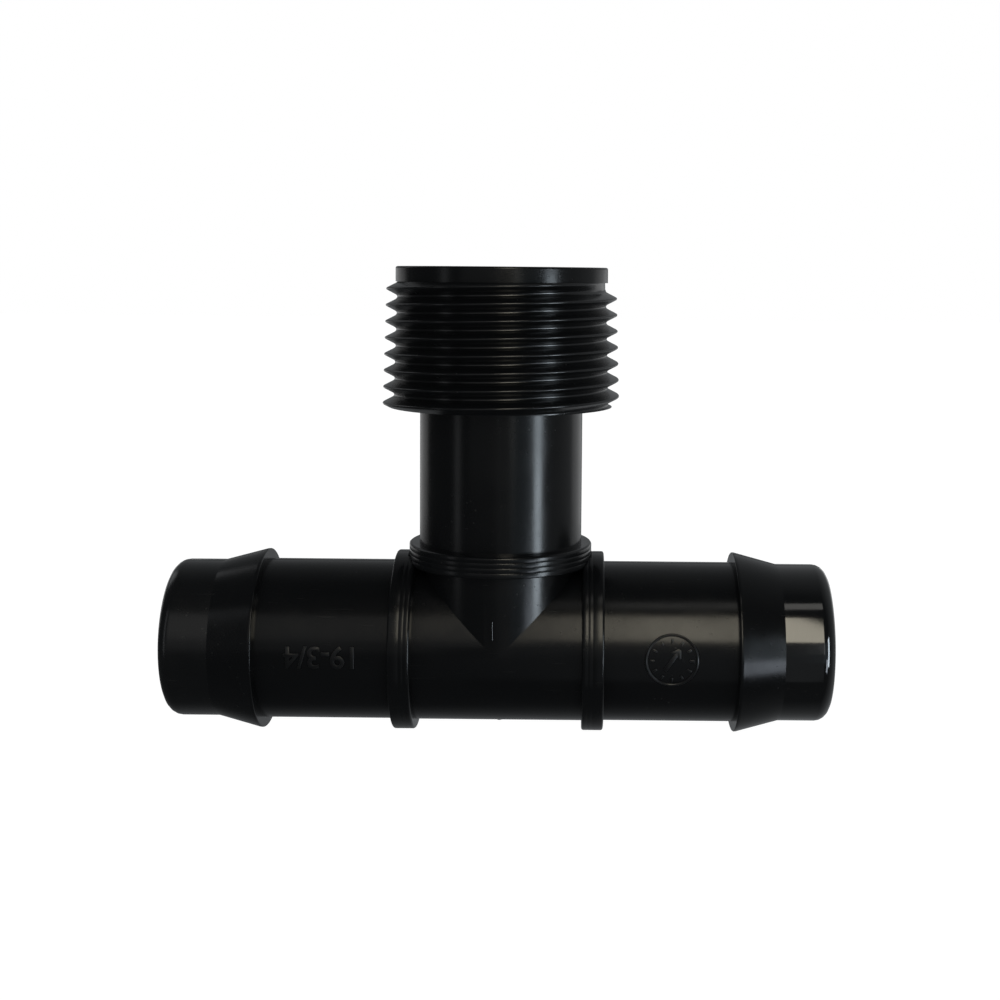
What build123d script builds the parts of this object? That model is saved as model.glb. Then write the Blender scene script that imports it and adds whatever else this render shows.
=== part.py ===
"""Barbed irrigation tee: two 19 mm hose spigots in line and a 3/4 inch male pipe thread on the branch.

The fitting is one plastic moulding. Each functional section of it is written as its own closed solid, and
neighbouring sections meet face to face.

Frame: millimetres. +X runs along the hose line, +Z up the branch, and the origin is where the two axes cross.
"""

from build123d import *
from math import atan, ceil, cos, degrees, radians, tan
import os

# Waterway
BORE_R = 6.9  # through the run and up the branch

# Hose spigots, given on the +X side; the -X side is its mirror image
RUN_HALF_LENGTH = 36.9
SHANK_R = 8.9  # where the hose is clamped
BARB_R = 10.05  # largest radius of the barb
BARB_BACK_X = 26.3  # square back face that stops the hose sliding off
BARB_LAND = 0.25  # short cylinder at the top of the barb
NOSE_START_X = 31.3  # end of the barb's taper
NOSE_R = 8.75
LIP_ROUND = 1.5  # outer rounding of the hose end
BORE_CHAMFER = 0.2  # at every mouth of the waterway

# Stop collars, where the hose ends butt
STOP_INNER_X = 9.3
STOP_OUTER_X = 11.7
STOP_R = 10.05
COLLAR_ROUND = 0.25

# Centre of the tee: the branch leaves the run at the same radius, so the two meet in a V
BODY_R = 8.95

# Branch collar and neck
BRANCH_COLLAR_TOP_Z = 11.3
BRANCH_COLLAR_R = 10.25
NECK_R = 9.1

# Threaded head
HEAD_Z = 26.6  # flat underside of the head
PILOT_Z = 40.5  # top of the thread, foot of the plain pilot
RIM_Z = 42.2
PILOT_R = 11.82
HEAD_BORE_R = 9.3  # the head is cored out above the neck to keep its wall even
HEAD_FLOOR_Z = 28.8  # where the core starts to widen
HEAD_CORE_Z = 30.6  # where the core has its full width

# Thread: R 3/4, 14 turns per inch, right-handed, 55 degree flanks, taper 1 in 16 on the diameter
PITCH = 25.4 / 14
GAUGE_R = 26.441 / 2
GAUGE_Z = RIM_Z - 14  # the gauge plane, where the crest has its nominal radius
RADIUS_SLOPE = -1 / 32  # change of radius per millimetre up the branch
THREAD_DEPTH = 1.3
CREST_WIDTH = 0.12
FLANK_HALF_ANGLE = 27.5
CREST_Z_AT_RIGHT = 38.77  # height of the highest crest on the +X side
TURNS_BELOW = 8  # whole turns made below that crest; the lowest ones are trimmed off
TURNS_ABOVE = 0.8  # full-depth thread above it
FADE_TURNS = 0.18  # the thread then sinks into the sleeve
FADE_END_DEPTH = 0.06

# Gate vestige, under the middle of the run
GATE_R = 0.4
GATE_STAND = 0.36


def crest_radius(z):
    """Radius of the thread's crest at height z."""
    return GAUGE_R + (z - GAUGE_Z) * RADIUS_SLOPE


def root_radius(z):
    """Radius of the sleeve that the thread stands on, at height z."""
    return crest_radius(z) - THREAD_DEPTH


def about_run(outline):
    """A ring round the X axis, from (x, radius) points."""
    wire = Wire.make_polygon([Vector(x, r, 0) for x, r in outline], close=True)
    return revolve(Face(wire), Axis.X, 360)


def about_branch(outline):
    """A ring round the Z axis, from (radius, z) points."""
    wire = Wire.make_polygon([Vector(r, 0, z) for r, z in outline], close=True)
    return revolve(Face(wire), Axis.Z, 360)


def circles_at(shape, axis, position, radius):
    """The circular edges of a ring at one place along its axis with one radius."""
    found = []
    for edge in shape.edges().filter_by(GeomType.CIRCLE):
        centre = edge.arc_center
        along = centre.X if axis == "x" else centre.Z
        if abs(along - position) < 1e-4 and abs(edge.radius - radius) < 1e-4:
            found.append(edge)
    return found


# The centre of the tee: run tube and branch stub, with the waterways crossing inside
def make_run_body():
    run = Rot(0, 90, 0) * Cylinder(BODY_R, 2 * STOP_INNER_X)
    stub = Pos(0, 0, BODY_R / 2) * Cylinder(BODY_R, BODY_R)
    run_bore = Rot(0, 90, 0) * Cylinder(BORE_R, 2 * STOP_INNER_X)
    branch_bore = Pos(0, 0, BODY_R / 2) * Cylinder(BORE_R, BODY_R)
    return (run + stub) - (run_bore + branch_bore)


# A stop collar, with its outer corners rounded and a bite taken by the branch collar
def make_stop_collar():
    outline = [
        (STOP_INNER_X, BORE_R),
        (STOP_INNER_X, STOP_R),
        (STOP_OUTER_X, STOP_R),
        (STOP_OUTER_X, BORE_R),
    ]
    ring = about_run(outline)
    rims = circles_at(ring, "x", STOP_INNER_X, STOP_R) + circles_at(ring, "x", STOP_OUTER_X, STOP_R)
    ring = fillet(rims, COLLAR_ROUND)
    collar_height = BRANCH_COLLAR_TOP_Z - BODY_R
    bite = Pos(0, 0, BODY_R + collar_height / 2) * Cylinder(BRANCH_COLLAR_R, collar_height)
    return ring - bite


# The plain shank, where a clamp squeezes the hose
def make_hose_shank():
    outline = [
        (STOP_OUTER_X, BORE_R),
        (STOP_OUTER_X, SHANK_R),
        (BARB_BACK_X, SHANK_R),
        (BARB_BACK_X, BORE_R),
    ]
    return about_run(outline)


# The barb: square at the back, tapered towards the hose end
def make_barb():
    outline = [
        (BARB_BACK_X, BORE_R),
        (BARB_BACK_X, BARB_R),
        (BARB_BACK_X + BARB_LAND, BARB_R),
        (NOSE_START_X, NOSE_R),
        (NOSE_START_X, BORE_R),
    ]
    return about_run(outline)


# The nose that finds its way into the hose
def make_spigot_nose():
    outline = [
        (NOSE_START_X, BORE_R),
        (NOSE_START_X, NOSE_R),
        (RUN_HALF_LENGTH, NOSE_R),
        (RUN_HALF_LENGTH, BORE_R + BORE_CHAMFER),
        (RUN_HALF_LENGTH - BORE_CHAMFER, BORE_R),
    ]
    ring = about_run(outline)
    return fillet(circles_at(ring, "x", RUN_HALF_LENGTH, NOSE_R), LIP_ROUND)


# The collar at the foot of the branch
def make_branch_collar():
    outline = [
        (BORE_R, BODY_R),
        (BRANCH_COLLAR_R, BODY_R),
        (BRANCH_COLLAR_R, BRANCH_COLLAR_TOP_Z),
        (BORE_R, BRANCH_COLLAR_TOP_Z),
    ]
    ring = about_branch(outline)
    return fillet(circles_at(ring, "z", BRANCH_COLLAR_TOP_Z, BRANCH_COLLAR_R), COLLAR_ROUND)


# The neck, up to the underside of the threaded head
def make_branch_neck():
    outline = [
        (BORE_R, BRANCH_COLLAR_TOP_Z),
        (NECK_R, BRANCH_COLLAR_TOP_Z),
        (NECK_R, HEAD_Z),
        (BORE_R, HEAD_Z),
    ]
    return about_branch(outline)


# The tapered sleeve that carries the thread, cored out inside
def make_thread_sleeve():
    outline = [
        (BORE_R, HEAD_Z),
        (root_radius(HEAD_Z), HEAD_Z),
        (root_radius(PILOT_Z), PILOT_Z),
        (HEAD_BORE_R, PILOT_Z),
        (HEAD_BORE_R, HEAD_CORE_Z),
        (BORE_R, HEAD_FLOOR_Z),
    ]
    return about_branch(outline)


# The plain ring above the thread, which starts a socket straight
def make_thread_pilot():
    outline = [
        (HEAD_BORE_R, PILOT_Z),
        (PILOT_R, PILOT_Z),
        (PILOT_R, RIM_Z - BORE_CHAMFER),
        (PILOT_R - BORE_CHAMFER, RIM_Z),
        (HEAD_BORE_R + BORE_CHAMFER, RIM_Z),
        (HEAD_BORE_R, RIM_Z - BORE_CHAMFER),
    ]
    return about_branch(outline)


def thread_edge(start_turn, turns, offset, start_radius, end_radius):
    """One helical edge of the ridge, a stretch of it that starts some turns above the thread's foot."""
    height = turns * PITCH
    cone = atan((end_radius - start_radius) / height)
    slant_pitch = PITCH / cos(cone)  # on a cone the pitch is laid along its slant
    foot_z = CREST_Z_AT_RIGHT + (start_turn - TURNS_BELOW) * PITCH + offset
    edge = Edge.make_helix(slant_pitch, height, start_radius, (0, 0, foot_z), angle=degrees(cone))
    return edge.rotate(Axis.Z, 360 * start_turn)


# The thread itself: a helical ridge of 55 degree section, full depth and then sinking into the sleeve
def make_male_thread():
    half_crest = CREST_WIDTH / 2
    half_root = half_crest + THREAD_DEPTH * tan(radians(FLANK_HALF_ANGLE))
    full_turns = TURNS_BELOW + TURNS_ABOVE
    stretch_count = ceil(2 * full_turns)  # each stretch is at most half a turn
    stretch_turns = full_turns / stretch_count
    stretches = [(k * stretch_turns, stretch_turns) for k in range(stretch_count)]
    stretches.append((full_turns, FADE_TURNS))

    faces = []
    for start_turn, turns in stretches:
        edges = []
        for offset in (-half_root, -half_crest, half_crest, half_root):
            low_z = CREST_Z_AT_RIGHT + (start_turn - TURNS_BELOW) * PITCH + offset
            high_z = low_z + turns * PITCH
            if abs(offset) == half_root:
                radii = (root_radius(low_z), root_radius(high_z))
            elif start_turn < full_turns:
                radii = (crest_radius(low_z), crest_radius(high_z))
            else:
                radii = (crest_radius(low_z), root_radius(high_z) + FADE_END_DEPTH)
            edges.append(thread_edge(start_turn, turns, offset, *radii))
        for k in range(4):
            faces.append(Face.make_surface_from_curves(edges[k], edges[(k + 1) % 4]))
        if start_turn == 0:
            faces.append(Face(Wire.make_polygon([edge @ 0 for edge in edges], close=True)))
        if start_turn == full_turns:
            faces.append(Face(Wire.make_polygon([edge @ 1 for edge in edges], close=True)))
    ridge = Solid(Shell(faces))

    reach = 2 * crest_radius(HEAD_Z)
    height = PILOT_Z - HEAD_Z
    keep = Pos(0, 0, HEAD_Z + height / 2) * Box(2 * reach, 2 * reach, height)
    return ridge & keep


# The stub left where the moulding was broken off its runner
def make_gate_vestige():
    nub = Pos(0, 0, -BODY_R) * Cylinder(GATE_R, 2 * GATE_STAND)
    return nub - Rot(0, 90, 0) * Cylinder(BODY_R, 4 * GATE_R)


os.makedirs("parts", exist_ok=True)

sections = {
    "run_body": make_run_body(),
    "branch_collar": make_branch_collar(),
    "branch_neck": make_branch_neck(),
    "thread_sleeve": make_thread_sleeve(),
    "male_thread": make_male_thread(),
    "thread_pilot": make_thread_pilot(),
    "gate_vestige": make_gate_vestige(),
}
spigot = {
    "stop_collar": make_stop_collar(),
    "hose_shank": make_hose_shank(),
    "barb": make_barb(),
    "spigot_nose": make_spigot_nose(),
}
for name, section in spigot.items():
    sections["right_" + name] = section
    sections["left_" + name] = mirror(section, about=Plane.YZ)

for name, section in sections.items():
    export_step(section, f"parts/{name}.step")
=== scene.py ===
import bpy
from math import atan2, cos, hypot, pi, radians, sin, tan
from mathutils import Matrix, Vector


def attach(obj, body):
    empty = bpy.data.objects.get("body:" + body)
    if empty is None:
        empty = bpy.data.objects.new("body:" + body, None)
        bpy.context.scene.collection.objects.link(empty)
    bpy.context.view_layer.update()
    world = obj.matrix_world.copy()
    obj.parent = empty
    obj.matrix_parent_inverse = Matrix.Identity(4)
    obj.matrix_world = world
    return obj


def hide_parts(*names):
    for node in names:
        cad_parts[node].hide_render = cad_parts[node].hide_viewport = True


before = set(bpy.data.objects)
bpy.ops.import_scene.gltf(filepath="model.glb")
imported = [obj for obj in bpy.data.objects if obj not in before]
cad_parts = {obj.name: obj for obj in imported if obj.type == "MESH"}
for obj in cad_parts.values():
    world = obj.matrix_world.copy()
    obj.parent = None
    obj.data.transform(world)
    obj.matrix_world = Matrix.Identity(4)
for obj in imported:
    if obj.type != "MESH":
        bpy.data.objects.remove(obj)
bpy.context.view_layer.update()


# ---- The studio -------------------------------------------------------------------------------------------
# A white table that runs on to a white wall, seen from close by, from the height of the thread and a little
# to the right. The lens is shifted down, so that the branch stays upright. The black plastic is shaped by
# what it mirrors, so the light is windows and a dim room.
bpy.ops.object.select_all(action="DESELECT")
mm = 0.001
scene = bpy.context.scene
scene.view_settings.view_transform = "Standard"
scene.view_settings.look = "None"

camera_place = Vector((8.2, -163.9, 41.5)) * mm
camera_aim = Vector((7.7, 0.0, 29.6)) * mm
camera_roll = radians(0.51)
bpy.ops.object.camera_add(location=camera_place)
camera = bpy.context.object
camera.name = "camera"
camera.rotation_euler = (camera_aim - camera_place).to_track_quat("-Z", "Y").to_euler()
bpy.context.view_layer.update()
camera.rotation_euler.rotate_axis("Z", camera_roll)
camera.data.sensor_width = 36.0
camera.data.lens = 52.65
camera.data.shift_x = -0.07
camera.data.shift_y = -0.12
camera.data.clip_start = 0.01
scene.camera = camera

# The table is seen as plain white. It isn't mirrored, because the plastic's lower half mirrors a dark room.
table_z = -10.09
table_width = 3000
bpy.ops.mesh.primitive_plane_add(size=table_width * mm, location=(0, 0, table_z * mm))
table = bpy.context.object
table.name = "table"
table.visible_glossy = False
table.visible_diffuse = False
table.visible_shadow = False
white_board = bpy.data.materials.new("white board")
white_board.use_nodes = True
board_shader = white_board.node_tree.nodes["Principled BSDF"]
board_shader.inputs["Base Color"].default_value = (0.1, 0.1, 0.1, 1)
board_shader.inputs["Roughness"].default_value = 0.9
board_shader.inputs["Specular IOR Level"].default_value = 0.0
board_shader.inputs["Emission Color"].default_value = (1, 1, 1, 1)
board_shader.inputs["Emission Strength"].default_value = 1.0
table.data.materials.append(white_board)

# The room: white to the eye and dim in the plastic's mirror, where it is lighter behind and to the right
room_tint = (0.93, 0.97, 1.0, 1)
room = bpy.data.worlds.new("room")
room.use_nodes = True
scene.world = room
nodes, links = room.node_tree.nodes, room.node_tree.links
nodes.clear()
to_world = nodes.new("ShaderNodeOutputWorld")
seen = nodes.new("ShaderNodeBackground")
seen.inputs["Color"].default_value = (1, 1, 1, 1)
mirrored = nodes.new("ShaderNodeBackground")
lit = nodes.new("ShaderNodeBackground")
lit.inputs["Color"].default_value = room_tint
lit.inputs["Strength"].default_value = 0.38
ray = nodes.new("ShaderNodeLightPath")
direction = nodes.new("ShaderNodeTexCoord")
away = nodes.new("ShaderNodeVectorMath")
away.operation = "DOT_PRODUCT"
away.inputs[1].default_value = (0.8, 1.0, 0.0)
links.new(direction.outputs["Generated"], away.inputs[0])
behind = nodes.new("ShaderNodeMapRange")
behind.inputs["From Min"].default_value = 0.0
behind.inputs["From Max"].default_value = 1.0
behind.inputs["To Min"].default_value = 0.035
behind.inputs["To Max"].default_value = 0.26
links.new(away.outputs["Value"], behind.inputs["Value"])
links.new(behind.outputs["Result"], mirrored.inputs["Strength"])
mirrored.inputs["Color"].default_value = room_tint
mirror_or_lit = nodes.new("ShaderNodeMixShader")
links.new(ray.outputs["Is Glossy Ray"], mirror_or_lit.inputs["Fac"])
links.new(lit.outputs[0], mirror_or_lit.inputs[1])
links.new(mirrored.outputs[0], mirror_or_lit.inputs[2])
eye_or_rest = nodes.new("ShaderNodeMixShader")
links.new(ray.outputs["Is Camera Ray"], eye_or_rest.inputs["Fac"])
links.new(mirror_or_lit.outputs[0], eye_or_rest.inputs[1])
links.new(seen.outputs[0], eye_or_rest.inputs[2])
links.new(eye_or_rest.outputs[0], to_world.inputs["Surface"])


def window(name, azimuth, low, high, spread, distance, colour, brightness):
    """A bright window round the fitting. The distance is in metres, and the rest is in degrees: azimuth from
    the front towards the right, lower and upper elevation, and spread."""
    z_low = distance * tan(radians(low))
    z_high = distance * tan(radians(high))
    width = 2 * distance * tan(radians(spread / 2))
    turn = radians(azimuth)
    place = Vector((sin(turn) * distance, -cos(turn) * distance, (z_low + z_high) / 2))
    bpy.ops.object.light_add(type="AREA", location=place)
    light = bpy.context.object
    light.name = name
    light.rotation_euler = Vector((-place.x, -place.y, 0)).to_track_quat("-Z", "Y").to_euler()
    light.data.shape = "RECTANGLE"
    light.data.size = width
    light.data.size_y = z_high - z_low
    light.data.color = colour
    light.data.energy = brightness * width * (z_high - z_low) * pi
    light.visible_camera = False
    light.visible_diffuse = False


window("front_window", 10.0, 12.5, 47.5, 16.0, 0.5, (1.0, 0.93, 0.76), 5.0)
window("front_transom", 20.0, 59.5, 68.5, 34.0, 0.5, (1.0, 0.98, 0.93), 1.1)
window("front_sill", 18.5, -4.0, 12.5, 5.0, 0.5, (1.0, 0.99, 0.95), 1.2)
window("front_low_glow", 8.0, -45.0, 12.5, 22.0, 0.5, (0.90, 0.95, 1.0), 0.12)
window("front_left_glow", -18.0, 9.0, 44.0, 40.0, 0.5, (1.0, 1.0, 1.0), 0.27)
window("front_left_sill", -20.0, -6.0, 9.0, 44.0, 0.5, (0.97, 0.98, 1.0), 0.12)
window("right_window", 55.0, -18.0, 12.0, 10.0, 0.2, (0.80, 0.91, 1.0), 13.0)
window("right_glow", 33.0, -16.0, 10.0, 30.0, 0.3, (0.70, 0.88, 1.0), 0.26)
window("table_glow", 43.7, -26.0, -10.5, 10.0, 0.2, (0.80, 0.88, 1.0), 5.0)
window("left_glow", -59.0, -10.0, 35.0, 8.0, 0.2, (0.95, 0.97, 1.0), 0.6)
window("back_left_strip", -142.0, -9.0, 6.0, 40.0, 0.5, (1.0, 1.0, 1.0), 0.45)
window("back_right_strip", 142.0, -9.0, 6.0, 40.0, 0.5, (1.0, 1.0, 1.0), 0.35)
window("back_window", 232.0, 18.0, 46.0, 18.0, 0.5, (0.95, 0.97, 1.0), 0.6)


# ---- The plastic ------------------------------------------------------------------------------------------
# Black polypropylene, coloured in the melt. A spark-eroded mould leaves a fine even grain on the skin, the
# melt leaves broad faint flow marks, and storage leaves a little pale dust and a few short rubs.
def new_group(name, inputs, outputs):
    """A shader group with named sockets, its input node and its output node."""
    group = bpy.data.node_groups.new(name, "ShaderNodeTree")
    for label, kind, value in inputs:
        socket = group.interface.new_socket(name=label, in_out="INPUT", socket_type=kind)
        socket.default_value = value
    for label, kind in outputs:
        group.interface.new_socket(name=label, in_out="OUTPUT", socket_type=kind)
    return group, group.nodes.new("NodeGroupInput"), group.nodes.new("NodeGroupOutput")


def node_in(tree, kind, values=(), **settings):
    """A node with its settings and some of its input values given."""
    node = tree.nodes.new(kind)
    for key, value in settings.items():
        setattr(node, key, value)
    for socket, value in dict(values).items():
        node.inputs[socket].default_value = value
    return node


# Flow marks and grain: broad streaks along the run in tone and gloss, and the mould's fine grain as height
moulded_skin, skin_in, skin_out = new_group(
    "moulded skin",
    [("Colour", "NodeSocketColor", (0.005, 0.0055, 0.006, 1)),
     ("Pale colour", "NodeSocketColor", (0.009, 0.0095, 0.01, 1)),
     ("Roughness", "NodeSocketFloat", 0.25),
     ("Gloss change", "NodeSocketFloat", 0.05),
     ("Grain", "NodeSocketFloat", 1.0)],
    [("Colour", "NodeSocketColor"), ("Roughness", "NodeSocketFloat"), ("Height", "NodeSocketFloat")])
place = node_in(moulded_skin, "ShaderNodeTexCoord")
stretch = node_in(moulded_skin, "ShaderNodeMapping",
                  {"Scale": (60.0, 260.0, 160.0), "Rotation": (0.2, 0.1, 0.0)})
flow = node_in(moulded_skin, "ShaderNodeTexNoise",
               {"Scale": 1.0, "Detail": 4.0, "Roughness": 0.55, "Distortion": 0.6})
smudge = node_in(moulded_skin, "ShaderNodeTexNoise", {"Scale": 210.0, "Detail": 3.0, "Roughness": 0.6})
smudge_range = node_in(moulded_skin, "ShaderNodeMapRange", {"From Min": 0.42, "From Max": 0.68})
tone = node_in(moulded_skin, "ShaderNodeMix", data_type="RGBA")
gloss = node_in(moulded_skin, "ShaderNodeMath", operation="MULTIPLY_ADD")
fine = node_in(moulded_skin, "ShaderNodeTexNoise", {"Scale": 9000.0, "Detail": 2.0, "Roughness": 0.6})
orange_peel = node_in(moulded_skin, "ShaderNodeTexNoise", {"Scale": 900.0, "Detail": 1.0})
both_heights = node_in(moulded_skin, "ShaderNodeMath", {1: 1.8}, operation="MULTIPLY_ADD")
grain_depth = node_in(moulded_skin, "ShaderNodeMath", operation="MULTIPLY")
wire = moulded_skin.links.new
wire(place.outputs["Object"], stretch.inputs["Vector"])
wire(stretch.outputs["Vector"], flow.inputs["Vector"])
wire(place.outputs["Object"], smudge.inputs["Vector"])
wire(place.outputs["Object"], fine.inputs["Vector"])
wire(place.outputs["Object"], orange_peel.inputs["Vector"])
wire(smudge.outputs["Fac"], smudge_range.inputs["Value"])
wire(flow.outputs["Fac"], tone.inputs["Factor"])
wire(skin_in.outputs["Colour"], tone.inputs["A"])
wire(skin_in.outputs["Pale colour"], tone.inputs["B"])
wire(tone.outputs["Result"], skin_out.inputs["Colour"])
wire(smudge_range.outputs["Result"], gloss.inputs[0])
wire(skin_in.outputs["Gloss change"], gloss.inputs[1])
wire(skin_in.outputs["Roughness"], gloss.inputs[2])
wire(gloss.outputs["Value"], skin_out.inputs["Roughness"])
wire(orange_peel.outputs["Fac"], both_heights.inputs[0])
wire(fine.outputs["Fac"], both_heights.inputs[2])
wire(both_heights.outputs["Value"], grain_depth.inputs[0])
wire(skin_in.outputs["Grain"], grain_depth.inputs[1])
wire(grain_depth.outputs["Value"], skin_out.inputs["Height"])

# Handling: pale dust specks, and short rubs that lie mostly along the run
handling, hand_in, hand_out = new_group(
    "dust and rubs",
    [("Colour", "NodeSocketColor", (0, 0, 0, 1)),
     ("Dust colour", "NodeSocketColor", (0.05, 0.048, 0.044, 1)),
     ("Roughness", "NodeSocketFloat", 0.25),
     ("Amount", "NodeSocketFloat", 0.5)],
    [("Colour", "NodeSocketColor"), ("Roughness", "NodeSocketFloat")])
place = node_in(handling, "ShaderNodeTexCoord")
specks = node_in(handling, "ShaderNodeTexVoronoi", {"Scale": 1100.0, "Randomness": 1.0})
speck_range = node_in(handling, "ShaderNodeMapRange", {"From Min": 0.16, "From Max": 0.10})
patches = node_in(handling, "ShaderNodeTexNoise", {"Scale": 130.0, "Detail": 3.0})
patch_range = node_in(handling, "ShaderNodeMapRange", {"From Min": 0.54, "From Max": 0.66})
dust = node_in(handling, "ShaderNodeMath", operation="MULTIPLY")
rub_stretch = node_in(handling, "ShaderNodeMapping",
                      {"Scale": (220.0, 3600.0, 3600.0), "Rotation": (0.0, 0.18, 0.1)})
rubs = node_in(handling, "ShaderNodeTexNoise", {"Scale": 1.0, "Detail": 1.0})
rub_range = node_in(handling, "ShaderNodeMapRange", {"From Min": 0.72, "From Max": 0.84})
marks = node_in(handling, "ShaderNodeMath", operation="MAXIMUM")
mark_amount = node_in(handling, "ShaderNodeMath", operation="MULTIPLY")
dusted = node_in(handling, "ShaderNodeMix", data_type="RGBA")
rougher = node_in(handling, "ShaderNodeMath", {1: 0.3}, operation="MULTIPLY_ADD")
wire = handling.links.new
wire(place.outputs["Object"], specks.inputs["Vector"])
wire(place.outputs["Object"], patches.inputs["Vector"])
wire(place.outputs["Object"], rub_stretch.inputs["Vector"])
wire(rub_stretch.outputs["Vector"], rubs.inputs["Vector"])
wire(specks.outputs["Distance"], speck_range.inputs["Value"])
wire(patches.outputs["Fac"], patch_range.inputs["Value"])
wire(speck_range.outputs["Result"], dust.inputs[0])
wire(patch_range.outputs["Result"], dust.inputs[1])
wire(rubs.outputs["Fac"], rub_range.inputs["Value"])
wire(dust.outputs["Value"], marks.inputs[0])
wire(rub_range.outputs["Result"], marks.inputs[1])
wire(marks.outputs["Value"], mark_amount.inputs[0])
wire(hand_in.outputs["Amount"], mark_amount.inputs[1])
wire(mark_amount.outputs["Value"], dusted.inputs["Factor"])
wire(hand_in.outputs["Colour"], dusted.inputs["A"])
wire(hand_in.outputs["Dust colour"], dusted.inputs["B"])
wire(dusted.outputs["Result"], hand_out.inputs["Colour"])
wire(mark_amount.outputs["Value"], rougher.inputs[0])
wire(hand_in.outputs["Roughness"], rougher.inputs[2])
wire(rougher.outputs["Value"], hand_out.inputs["Roughness"])


grain_relief = 0.01  # mm, the height that a full bump stands for


def black_plastic(name, roughness, gloss_change, specular, grain, bump, dust_amount):
    """One finish of the black polypropylene."""
    material = bpy.data.materials.new(name)
    material.use_nodes = True
    tree = material.node_tree
    shader = tree.nodes["Principled BSDF"]
    skin = node_in(tree, "ShaderNodeGroup", node_tree=moulded_skin)
    skin.inputs["Roughness"].default_value = roughness
    skin.inputs["Gloss change"].default_value = gloss_change
    skin.inputs["Grain"].default_value = grain
    worn = node_in(tree, "ShaderNodeGroup", node_tree=handling)
    worn.inputs["Amount"].default_value = dust_amount
    relief = node_in(tree, "ShaderNodeBump", {"Strength": bump, "Distance": grain_relief * mm})
    tree.links.new(skin.outputs["Colour"], worn.inputs["Colour"])
    tree.links.new(skin.outputs["Roughness"], worn.inputs["Roughness"])
    tree.links.new(worn.outputs["Colour"], shader.inputs["Base Color"])
    tree.links.new(worn.outputs["Roughness"], shader.inputs["Roughness"])
    tree.links.new(skin.outputs["Height"], relief.inputs["Height"])
    tree.links.new(relief.outputs["Normal"], shader.inputs["Normal"])
    shader.inputs["Specular IOR Level"].default_value = specular
    return material


satin_plastic = black_plastic("satin black plastic", 0.20, 0.05, 0.30, 1.0, 0.22, 0.25)


# ---- The centre of the tee --------------------------------------------------------------------------------
# The middle of the one-piece moulding: the run tube and the foot of the branch, of one radius, so their
# skins cross in a V. The cores that form the waterways meet inside, and the mould's halves part at the plane
# through both axes, where a fine line of flash stands on the skin.
bore_radius = 6.9
body_radius = 8.95
body_end = 9.3
round_steps = 192
flash_width = 0.14
flash_height = 0.03
flash_from_radius = bore_radius + 1.7  # clear of the waterway's skin
weld = 0.0005  # points closer than this are one point
near = 0.001  # what counts as on a line or a plane
cut_threshold = 1e-8
v_tip = 0.9  # half the width over which the V has faded out


def edit(piece):
    """Takes one piece into edit mode, with everything selected."""
    bpy.ops.object.select_all(action="DESELECT")
    piece.select_set(True)
    bpy.context.view_layer.objects.active = piece
    bpy.ops.object.mode_set(mode="EDIT")
    bpy.ops.mesh.select_mode(type="VERT")
    bpy.ops.mesh.select_all(action="SELECT")


def pick(piece, kind, wanted):
    """Selects the vertices or faces of the piece, by their place in mm, or the edges, by both their ends."""
    bpy.ops.object.mode_set(mode="OBJECT")
    mesh = piece.data
    for parts in (mesh.vertices, mesh.edges, mesh.polygons):
        parts.foreach_set("select", [False] * len(parts))
    if kind == "VERT":
        for vertex in mesh.vertices:
            vertex.select = wanted(vertex.co / mm)
    elif kind == "EDGE":
        for edge in mesh.edges:
            ends = [mesh.vertices[k].co / mm for k in edge.vertices]
            edge.select = wanted(ends[0]) and wanted(ends[1])
    else:
        for face in mesh.polygons:
            face.select = wanted(face.center / mm)
    bpy.ops.object.mode_set(mode="EDIT")
    bpy.ops.mesh.select_mode(type=kind)


def raise_flash(piece, along_run):
    """Lifts the fine line of flash on the outer skin, where the halves of the mould met."""
    for side in (-1, 1):
        bpy.ops.mesh.select_all(action="SELECT")
        bpy.ops.mesh.bisect(plane_co=(0, side * flash_width / 2 * mm, 0), plane_no=(0, 1, 0),
                            threshold=cut_threshold)
    for side in (-1, 1):
        pick(piece, "VERT", lambda p: abs(p.y) < near
             and side * (p.z if along_run else p.x) > flash_from_radius)
        lift = Vector((0, 0, side)) if along_run else Vector((side, 0, 0))
        bpy.ops.transform.translate(value=lift * flash_height * mm)


def close_and_smooth(piece, crease=35):
    """Merges doubles, turns the skin outwards, and smooths the shading except across creases."""
    bpy.ops.mesh.select_mode(type="VERT")
    bpy.ops.mesh.select_all(action="SELECT")
    bpy.ops.mesh.remove_doubles(threshold=weld * mm)
    bpy.ops.mesh.normals_make_consistent(inside=False)
    bpy.ops.object.mode_set(mode="OBJECT")
    bpy.ops.object.shade_smooth_by_angle(angle=radians(crease))
    even = piece.modifiers.new("even shading", "WEIGHTED_NORMAL")
    even.keep_sharp = True
    bpy.ops.object.modifier_apply(modifier=even.name)


def open_tube(name, radius, length, middle_z, along_run):
    """An open tube along the run or up the branch."""
    bpy.ops.object.select_all(action="DESELECT")
    bpy.ops.mesh.primitive_cylinder_add(
        vertices=round_steps, radius=radius * mm, depth=length * mm, end_fill_type="NOTHING",
        location=(0, 0, middle_z * mm), rotation=(0, pi / 2 if along_run else 0, 0))
    tube = bpy.context.object
    tube.name = name
    bpy.ops.object.transform_apply(location=True, rotation=True, scale=True)
    return tube


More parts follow.
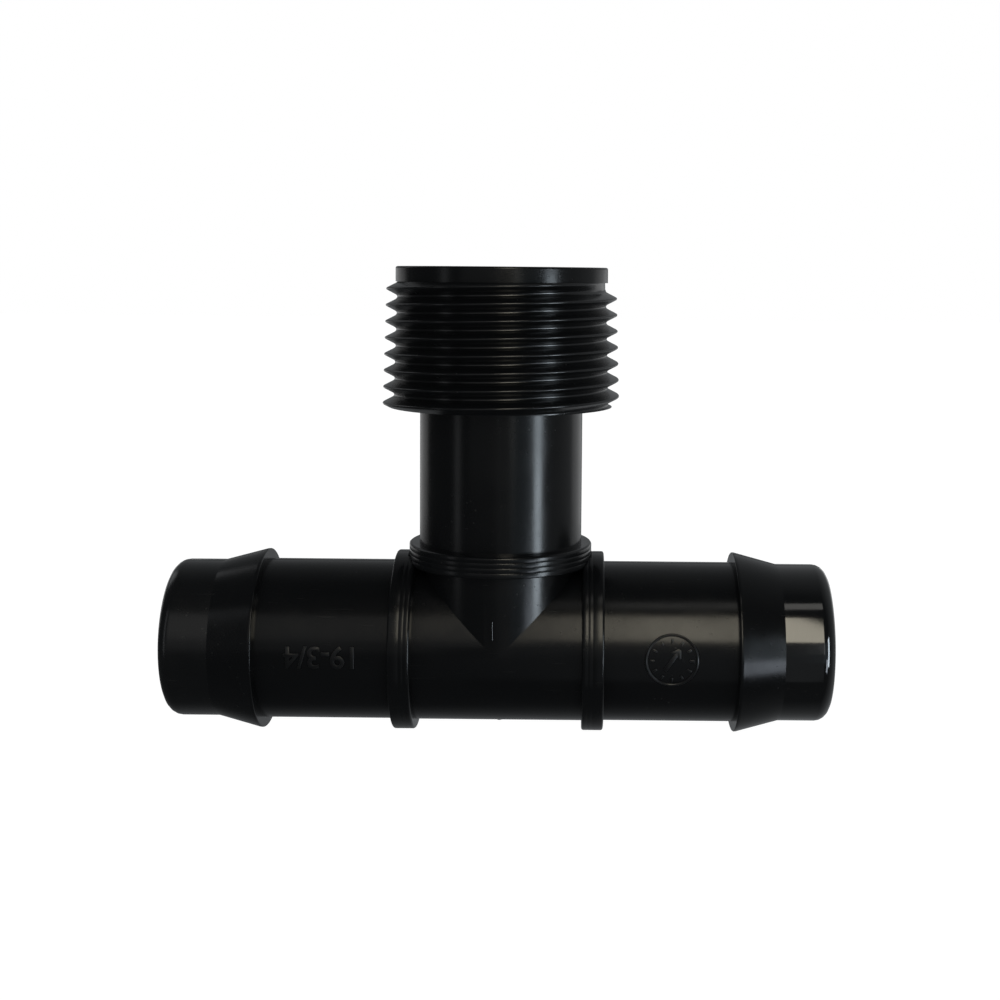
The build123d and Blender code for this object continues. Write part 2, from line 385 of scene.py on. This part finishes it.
centre_skins = []
for radius in (body_radius, bore_radius):
    along = open_tube("run_body", radius, 2 * body_end, 0, True)
    up = open_tube("branch_foot", radius, body_radius, body_radius / 2, False)
    for tube, unwanted in ((along, lambda p: p.z > abs(p.x)), (up, lambda p: p.z < abs(p.x))):
        edit(tube)
        for side in (1, -1):
            bpy.ops.mesh.select_all(action="SELECT")
            bpy.ops.mesh.bisect(plane_co=(0, 0, 0), plane_no=(side, 0, 1), threshold=cut_threshold)
        pick(tube, "FACE", unwanted)
        bpy.ops.mesh.delete(type="FACE")
        bpy.ops.object.mode_set(mode="OBJECT")
        centre_skins.append(tube)

run_body = centre_skins[0]
for tube in centre_skins:
    tube.select_set(True)
bpy.context.view_layer.objects.active = run_body
bpy.ops.object.join()
edit(run_body)
bpy.ops.mesh.remove_doubles(threshold=near * mm)
for end in (-1, 1):
    pick(run_body, "EDGE", lambda p: abs(p.x - end * body_end) < near)
    bpy.ops.mesh.bridge_edge_loops()
pick(run_body, "EDGE", lambda p: abs(p.z - body_radius) < near and abs(p.x) < body_radius + 0.01)
bpy.ops.mesh.bridge_edge_loops()
# The V is crisp where it is deep, and fades out at its tip on the front and the back of the run
pick(run_body, "EDGE", lambda p: abs(p.z - abs(p.x)) < near and abs(p.x) > v_tip
     and p.z < body_radius - 0.01 and hypot(p.y, p.z) > body_radius - 0.01)
bpy.ops.mesh.mark_sharp()
raise_flash(run_body, True)
close_and_smooth(run_body)
run_body.data.materials.append(satin_plastic)
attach(run_body, "root")
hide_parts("run_body")


# ---- The stop collars -------------------------------------------------------------------------------------
# Two low collars of the same plastic, where the cut ends of the hose butt. The tool that cut their grooves in
# the mould left fine turning lines round the rims. The branch collar passes through both of them.
stop_inner = 9.3
stop_outer = 11.7
stop_radius = 10.05 - flash_height
stop_lines = (9.95, 10.45)
stop_line_depth = 0.015
turned_line_width = 0.14
collar_round = 0.25
round_cuts = 5
branch_collar_radius = 10.25
branch_collar_top = 11.3
passing_height = 8


def turned(name, along_run, outline, rounded=()):
    """Spins a closed outline of (place along the axis, radius) corners, and rounds the corners named."""
    bpy.ops.object.select_all(action="DESELECT")
    bpy.ops.mesh.primitive_circle_add(vertices=len(outline), radius=mm, fill_type="NGON")
    piece = bpy.context.object
    piece.name = name
    for vertex, (along, radius) in zip(piece.data.vertices, outline):
        vertex.co = Vector((along, 0, radius) if along_run else (radius, 0, along)) * mm
    edit(piece)
    for along, radius, size in rounded:
        corner = Vector((along, 0, radius) if along_run else (radius, 0, along))
        pick(piece, "VERT", lambda p: (p - corner).length < 0.01)
        bpy.ops.mesh.bevel(offset=size * mm, segments=round_cuts, affect="VERTICES")
    bpy.ops.mesh.select_all(action="SELECT")
    bpy.ops.mesh.delete(type="ONLY_FACE")
    bpy.ops.mesh.select_mode(type="EDGE")
    bpy.ops.mesh.select_all(action="SELECT")
    axis = (1, 0, 0) if along_run else (0, 0, 1)
    bpy.ops.mesh.spin(steps=round_steps, angle=2 * pi, center=(0, 0, 0), axis=axis)
    bpy.ops.mesh.select_mode(type="VERT")
    bpy.ops.mesh.select_all(action="SELECT")
    bpy.ops.mesh.remove_doubles(threshold=weld * mm)
    raise_flash(piece, along_run)
    return piece


def mirrored_copy(piece, name):
    """The same piece on the left of the branch."""
    bpy.ops.object.select_all(action="DESELECT")
    piece.select_set(True)
    bpy.context.view_layer.objects.active = piece
    bpy.ops.object.duplicate()
    copy = bpy.context.object
    copy.name = name
    copy.scale.x = -1
    bpy.ops.object.transform_apply(location=True, rotation=True, scale=True)
    edit(copy)
    close_and_smooth(copy)
    return copy


def rim_with_lines(low, high, radius, lines, line_depth):
    """The corners of a collar's rim, from its low side to its high side, with fine turned lines."""
    corners = [(low, radius)]
    for line in lines:
        corners += [(line - turned_line_width / 2, radius), (line, radius - line_depth),
                    (line + turned_line_width / 2, radius)]
    return corners + [(high, radius)]


stop_outline = [(stop_inner, bore_radius)]
stop_outline += rim_with_lines(stop_inner, stop_outer, stop_radius, stop_lines, stop_line_depth)
stop_outline.append((stop_outer, bore_radius))
right_stop = turned("right_stop_collar", True, stop_outline, (
    (stop_inner, stop_radius, collar_round), (stop_outer, stop_radius, collar_round)))
close_and_smooth(right_stop)
bpy.ops.mesh.primitive_cylinder_add(
    vertices=round_steps, radius=branch_collar_radius * mm, depth=passing_height * mm,
    location=(0, 0, (body_radius + passing_height / 2) * mm))
passing_collar = bpy.context.object
bite = right_stop.modifiers.new("bite", "BOOLEAN")
bite.operation = "DIFFERENCE"
bite.solver = "EXACT"
bite.object = passing_collar
bpy.context.view_layer.objects.active = right_stop
bpy.ops.object.modifier_apply(modifier=bite.name)
bpy.data.objects.remove(passing_collar)
edit(right_stop)
close_and_smooth(right_stop)
left_stop = mirrored_copy(right_stop, "left_stop_collar")
for stop, node in ((right_stop, "right_stop_collar"), (left_stop, "left_stop_collar")):
    stop.data.materials.append(satin_plastic)
    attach(stop, "root")
    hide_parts(node)


# ---- The hose shanks --------------------------------------------------------------------------------------
# The plain lengths that a clamp squeezes the hose on to. They are moulded with the collars, and carry the
# mould's two marks on their front.
shank_radius = 8.9
barb_back = 26.3
right_shank = turned("right_hose_shank", True, [
    (stop_outer, bore_radius), (stop_outer, shank_radius),
    (barb_back, shank_radius), (barb_back, bore_radius)])
close_and_smooth(right_shank)
left_shank = mirrored_copy(right_shank, "left_hose_shank")
for shank, node in ((right_shank, "right_hose_shank"), (left_shank, "left_hose_shank")):
    shank.data.materials.append(satin_plastic)
    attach(shank, "root")
    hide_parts(node)


# ---- The barbs --------------------------------------------------------------------------------------------
# One tapered barb on each spigot, square at the back so that the hose can't slide off. Ejection has just
# rounded the top edge.
barb_radius = 10.05 - flash_height
barb_land = 0.25
barb_edge_round = 0.12
nose_start = 31.3
nose_radius = 8.75
right_barb = turned("right_barb", True, [
    (barb_back, bore_radius), (barb_back, barb_radius), (barb_back + barb_land, barb_radius),
    (nose_start, nose_radius), (nose_start, bore_radius)],
    ((barb_back, barb_radius, barb_edge_round), (barb_back + barb_land, barb_radius, barb_edge_round)))
close_and_smooth(right_barb)
left_barb = mirrored_copy(right_barb, "left_barb")
for barb, node in ((right_barb, "right_barb"), (left_barb, "left_barb")):
    barb.data.materials.append(satin_plastic)
    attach(barb, "root")
    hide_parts(node)


# ---- The spigot noses -------------------------------------------------------------------------------------
# The ends that lead into the hose. They are formed by the polished core's collar, not by the grained cavity,
# so they are glossier than the rest, the left one less so, with a full round lip and a small chamfer at the
# bore.
run_end = 36.9
lip_round = 1.5
mouth_chamfer = 0.2
polished_plastic = black_plastic("polished black plastic", 0.08, 0.04, 0.68, 1.0, 0.10, 0.25)
burnished_plastic = black_plastic("burnished black plastic", 0.22, 0.05, 0.58, 1.0, 0.14, 0.25)
right_nose = turned("right_spigot_nose", True, [
    (nose_start, bore_radius), (nose_start, nose_radius), (run_end, nose_radius),
    (run_end, bore_radius + mouth_chamfer), (run_end - mouth_chamfer, bore_radius)],
    ((run_end, nose_radius, lip_round),))
close_and_smooth(right_nose)
left_nose = mirrored_copy(right_nose, "left_spigot_nose")
for nose, node in ((right_nose, "right_spigot_nose"), (left_nose, "left_spigot_nose")):
    nose.data.materials.append(polished_plastic if nose is right_nose else burnished_plastic)
    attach(nose, "root")
    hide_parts(node)


# ---- The branch collar ------------------------------------------------------------------------------------
# A collar round the foot of the branch, turned in the mould like the stop collars, with fine lines round it.
# It stands over the V and casts the thin shadow on it.
branch_lines = (9.55, 10.1, 10.65)
branch_line_depth = 0.024
collar_foot_round = 0.15
branch_outline = [(body_radius, bore_radius)]
branch_outline += rim_with_lines(body_radius, branch_collar_top, branch_collar_radius, branch_lines,
                                 branch_line_depth)
branch_outline.append((branch_collar_top, bore_radius))
branch_collar = turned("branch_collar", False, branch_outline, (
    (branch_collar_top, branch_collar_radius, collar_round),
    (body_radius, branch_collar_radius, collar_foot_round)))
close_and_smooth(branch_collar)
branch_collar.data.materials.append(satin_plastic)
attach(branch_collar, "root")
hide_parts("branch_collar")


# ---- The neck of the branch -------------------------------------------------------------------------------
# The plain tube between the collar and the threaded head, of the same plastic in the same shot.
neck_radius = 9.1
head_underside = 26.6
neck = turned("branch_neck", False, [
    (branch_collar_top, bore_radius), (branch_collar_top, neck_radius),
    (head_underside, neck_radius), (head_underside, bore_radius)])
close_and_smooth(neck)
neck.data.materials.append(satin_plastic)
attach(neck, "root")
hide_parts("branch_neck")


# ---- The threaded sleeve ----------------------------------------------------------------------------------
# A 3/4 inch taper pipe thread, right-handed, moulded with its sleeve in one skin: 55 degree flanks, narrow
# rounded crests and filleted roots. The flat underside cuts through the lowest turn, and the highest turn
# sinks into the sleeve across the front, under the pilot. The sleeve is cored out above the neck.
pitch = 25.4 / 14
thread_depth = 1.3
crest_trim = 0.17
crest_round = 0.34
crest_cuts = 7
root_round = 0.62
root_cuts = 8
flank_angle = 27.5
radius_slope = 1 / 32
gauge_diameter = 26.441
rim_z = 42.2
pilot_z = 40.5
gauge_z = rim_z - 14
crest_z_at_right = 38.77
fade_from_turn = 0.78
fade_turns = 0.2
head_bore_radius = 9.3
head_floor_z = 28.8
head_core_z = 30.6
turns_below = 9
spare_turns = 3  # made above the highest crest, and cut off at the pilot
thread_steps = 144
thread_weld = 0.002
thread_crease = 24

# One turn of the skin, drawn sharp and before the taper is given: it starts and ends half way up a flank
crest_radius = gauge_diameter / 2 + gauge_z * radius_slope
root_radius = crest_radius - thread_depth
sharp_crest = crest_radius + crest_trim
sharp_root = sharp_crest - pitch / 2 / tan(radians(flank_angle))
start_z = crest_z_at_right - turns_below * pitch
bpy.ops.object.select_all(action="DESELECT")
bpy.ops.mesh.primitive_circle_add(vertices=4, radius=mm, fill_type="NGON")
sleeve = bpy.context.object
sleeve.name = "threaded_sleeve"
mid_flank = (sharp_crest + sharp_root) / 2
turn_outline = [(mid_flank, -pitch / 4), (sharp_crest, 0),
                (sharp_root, pitch / 2), (mid_flank, 3 * pitch / 4)]
for vertex, (radius, z) in zip(sleeve.data.vertices, turn_outline):
    vertex.co = Vector((radius, 0, start_z + z)) * mm
edit(sleeve)
for radius, size, cuts in ((sharp_crest, crest_round, crest_cuts), (sharp_root, root_round, root_cuts)):
    pick(sleeve, "VERT", lambda p: abs(p.x - radius) < near)
    bpy.ops.mesh.bevel(offset=size * mm, segments=cuts, affect="VERTICES")
bpy.ops.mesh.select_all(action="SELECT")
bpy.ops.mesh.delete(type="ONLY_FACE")
pick(sleeve, "EDGE", lambda p: abs(p.x - mid_flank) < near)
bpy.ops.mesh.delete(type="EDGE")
bpy.ops.object.mode_set(mode="OBJECT")
screw = sleeve.modifiers.new("thread", "SCREW")
screw.axis = "Z"
screw.angle = 2 * pi
screw.screw_offset = pitch * mm
screw.iterations = turns_below + spare_turns
screw.steps = thread_steps
screw.render_steps = thread_steps
bpy.ops.object.modifier_apply(modifier=screw.name)

# The taper, and the highest turn sinking into the sleeve
for vertex in sleeve.data.vertices:
    p = vertex.co / mm
    angle = atan2(p.y, p.x) / (2 * pi)
    turn = round((p.z - crest_z_at_right) / pitch - angle) + angle
    sunk = min(max((turn - fade_from_turn) / fade_turns, 0), 1)
    sunk = sunk * sunk * (3 - 2 * sunk)
    radius = hypot(p.x, p.y)
    scale = (radius + min(root_radius - radius, 0) * sunk - p.z * radius_slope) / radius
    vertex.co.x *= scale
    vertex.co.y *= scale

edit(sleeve)
bpy.ops.mesh.remove_doubles(threshold=thread_weld * mm)
bpy.ops.mesh.bisect(plane_co=(0, 0, head_underside * mm), plane_no=(0, 0, 1), clear_inner=True,
                    threshold=cut_threshold)
bpy.ops.mesh.select_all(action="SELECT")
bpy.ops.mesh.bisect(plane_co=(0, 0, pilot_z * mm), plane_no=(0, 0, 1), clear_outer=True,
                    threshold=cut_threshold)

# The flat underside and the hollow inside, drawn up ring by ring to the foot of the pilot
pick(sleeve, "EDGE", lambda p: abs(p.z - head_underside) < weld)
for radius, z in ((bore_radius, head_underside), (bore_radius, head_floor_z),
                  (head_bore_radius, head_core_z), (head_bore_radius, pilot_z)):
    bpy.ops.mesh.extrude_region_move()
    bpy.ops.object.mode_set(mode="OBJECT")
    for vertex in sleeve.data.vertices:
        if vertex.select:
            out = Vector((vertex.co.x, vertex.co.y, 0)).normalized()
            vertex.co = out * radius * mm + Vector((0, 0, z * mm))
    bpy.ops.object.mode_set(mode="EDIT")
pick(sleeve, "EDGE", lambda p: abs(p.z - pilot_z) < weld)
bpy.ops.mesh.bridge_edge_loops()
close_and_smooth(sleeve, thread_crease)
sleeve.data.materials.append(burnished_plastic)
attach(sleeve, "root")
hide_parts("thread_sleeve", "male_thread")


# ---- The pilot --------------------------------------------------------------------------------------------
# The plain ring above the thread that starts a socket straight. Its top edges are slightly rounded.
pilot_radius = 11.82
rim_outer_round = 0.22
rim_inner_round = 0.2
pilot = turned("thread_pilot", False, [
    (pilot_z, head_bore_radius), (pilot_z, pilot_radius), (rim_z, pilot_radius), (rim_z, head_bore_radius)],
    ((rim_z, pilot_radius, rim_outer_round), (rim_z, head_bore_radius, rim_inner_round)))
close_and_smooth(pilot)
pilot.data.materials.append(satin_plastic)
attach(pilot, "root")
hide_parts("thread_pilot")


# ---- The gate vestige and the witness line ----------------------------------------------------------------
# The torn stub left under the run where the moulding was snapped off its runner, and a hair line on the foot
# of the branch where two inserts of the mould meet.
gate_radius = 0.4
gate_stand = 0.36
gate_length = 0.5
gate_rings = ((0.08, 0), (0.1, -0.07), (0.09, 0.05))  # width and rise of each ring of its torn end
gate_tear = 0.025
gate_crease = 30
bpy.ops.object.select_all(action="DESELECT")
bpy.ops.mesh.primitive_cylinder_add(
    vertices=32, radius=gate_radius * mm, depth=gate_length * mm,
    location=(0, 0, -(body_radius + gate_stand - gate_length / 2) * mm))
gate = bpy.context.object
gate.name = "gate_vestige"
bpy.ops.object.transform_apply(location=True, rotation=True, scale=True)
edit(gate)
pick(gate, "FACE", lambda p: p.z < -(body_radius + gate_stand - 0.01))
for ring_width, rise in gate_rings:
    bpy.ops.mesh.inset(thickness=ring_width * mm, depth=rise * mm)
bpy.ops.object.mode_set(mode="OBJECT")
for vertex in gate.data.vertices:
    p = vertex.co / mm
    if p.z < -body_radius - 0.02:
        tear = sin(5 * atan2(p.y, p.x) + 9 * hypot(p.x, p.y))
        vertex.co.z += gate_tear * mm * (tear - 1) * -0.5
edit(gate)
close_and_smooth(gate, gate_crease)
gate.data.materials.append(satin_plastic)
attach(gate, "root")
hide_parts("gate_vestige")

witness_x = -0.42
witness_z = 3.1
witness_length = 1.95
witness_radius = 0.06
witness_crease = 40
bpy.ops.object.select_all(action="DESELECT")
bpy.ops.mesh.primitive_cylinder_add(
    vertices=16, radius=witness_radius * mm, depth=witness_length * mm,
    location=(witness_x * mm, -body_radius * mm, witness_z * mm))
witness = bpy.context.object
witness.name = "witness_line"
bpy.ops.object.transform_apply(location=True, rotation=True, scale=True)
edit(witness)
pick(witness, "FACE", lambda p: abs(p.z - witness_z) > 0.9)
bpy.ops.mesh.inset(thickness=0.02 * mm, depth=0.03 * mm)
close_and_smooth(witness, witness_crease)
witness.data.materials.append(polished_plastic)
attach(witness, "root")


# ---- The mould's marks ------------------------------------------------------------------------------------
# Cut into the mould by hand, so they stand out of the plastic by a little over a tenth of a millimetre: hose
# and thread sizes on the left shank, upside down, and a plain date ring with its pointer on the right shank.
mark_height = 0.14
mark_root = 0.06
mark_edge = 0.05
mark_crease = 30
rubbed_plastic = black_plastic("rubbed black plastic", 0.28, 0.06, 0.5, 1.0, 0.2, 0.4)
mark_thickness = (mark_height + mark_root) * mm
mark_middle = -(shank_radius + (mark_height - mark_root) / 2)


def wrap_round(mark):
    """Bends a mark that stands flat in front of a shank on to its round skin, keeping its thickness."""
    for vertex in mark.data.vertices:
        p = vertex.co / mm
        turn_up = p.z / shank_radius
        vertex.co = Vector((p.x, p.y * cos(turn_up), -p.y * sin(turn_up))) * mm
    edit(mark)
    close_and_smooth(mark, mark_crease)


size_mark_x = -18.85
size_mark_z = 0.1
size_mark_height = 3.35
bpy.ops.object.select_all(action="DESELECT")
bpy.ops.object.text_add(location=(0, 0, 0))
size_mark = bpy.context.object
size_mark.name = "size_mark"
size_mark.data.body = "19-3/4"
size_mark.data.align_x = "CENTER"
size_mark.data.align_y = "CENTER"
size_mark.data.size = size_mark_height * mm
size_mark.data.space_character = 0.95
size_mark.data.resolution_u = 5
size_mark.data.extrude = mark_thickness / 2 - mark_edge * mm
size_mark.data.bevel_depth = mark_edge * mm
size_mark.data.bevel_resolution = 1
bpy.ops.object.convert(target="MESH")
size_mark = bpy.context.object
size_mark.location = (size_mark_x * mm, mark_middle * mm, size_mark_z * mm)
size_mark.rotation_euler = (pi / 2, pi, 0)
bpy.ops.object.transform_apply(location=True, rotation=True, scale=True)
wrap_round(size_mark)

ring_x = 19.0
ring_radius = 2.78
ring_thickness = mark_height + 0.02
tick_count = 12
tick_radius = 2.15
pointer_turn = radians(35)
pointer_length = 2.7
arrow_spread = radians(145)
arrow_reach = 0.42
bpy.ops.object.select_all(action="DESELECT")
bpy.ops.mesh.primitive_torus_add(
    major_radius=ring_radius * mm, minor_radius=ring_thickness * mm, major_segments=96, minor_segments=12,
    location=(ring_x * mm, -shank_radius * mm, 0), rotation=(pi / 2, 0, 0))
date_ring = bpy.context.object
date_ring.name = "date_ring"


def raised_bar(x, z, width, height, turn):
    """A small raised bar of the date ring, turned clockwise in radians."""
    bpy.ops.mesh.primitive_cube_add(
        size=1, location=((ring_x + x) * mm, mark_middle * mm, z * mm),
        rotation=(0, turn, 0), scale=(width * mm, mark_thickness, height * mm))
    return bpy.context.object


bars = [raised_bar(0, 0, 0.42, pointer_length, pointer_turn)]
tip_reach = pointer_length / 2
tip = Vector((tip_reach * sin(pointer_turn), tip_reach * cos(pointer_turn)))
for side in (-1, 1):
    arrow_turn = pointer_turn + side * arrow_spread
    middle = tip + Vector((sin(arrow_turn), cos(arrow_turn))) * arrow_reach
    bars.append(raised_bar(middle.x, middle.y, 0.38, 1.0, arrow_turn))
for k in range(tick_count):
    hour = radians(360 / tick_count * k)
    bars.append(raised_bar(tick_radius * sin(hour), tick_radius * cos(hour), 0.24, 0.5, hour))
bpy.ops.object.select_all(action="DESELECT")
for bar in bars:
    bar.select_set(True)
bpy.context.view_layer.objects.active = bars[0]
bpy.ops.object.join()
date_bars = bpy.context.object
bpy.ops.object.transform_apply(location=True, rotation=True, scale=True)
soft_edge = date_bars.modifiers.new("soft edge", "BEVEL")
soft_edge.width = mark_edge * 1.4 * mm
soft_edge.segments = 2
bpy.ops.object.modifier_apply(modifier=soft_edge.name)
date_ring.select_set(True)
bpy.context.view_layer.objects.active = date_ring
bpy.ops.object.transform_apply(location=True, rotation=True, scale=True)
bpy.ops.object.join()
wrap_round(date_ring)
for mark in (size_mark, date_ring):
    mark.data.materials.append(rubbed_plastic)
    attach(mark, "root")
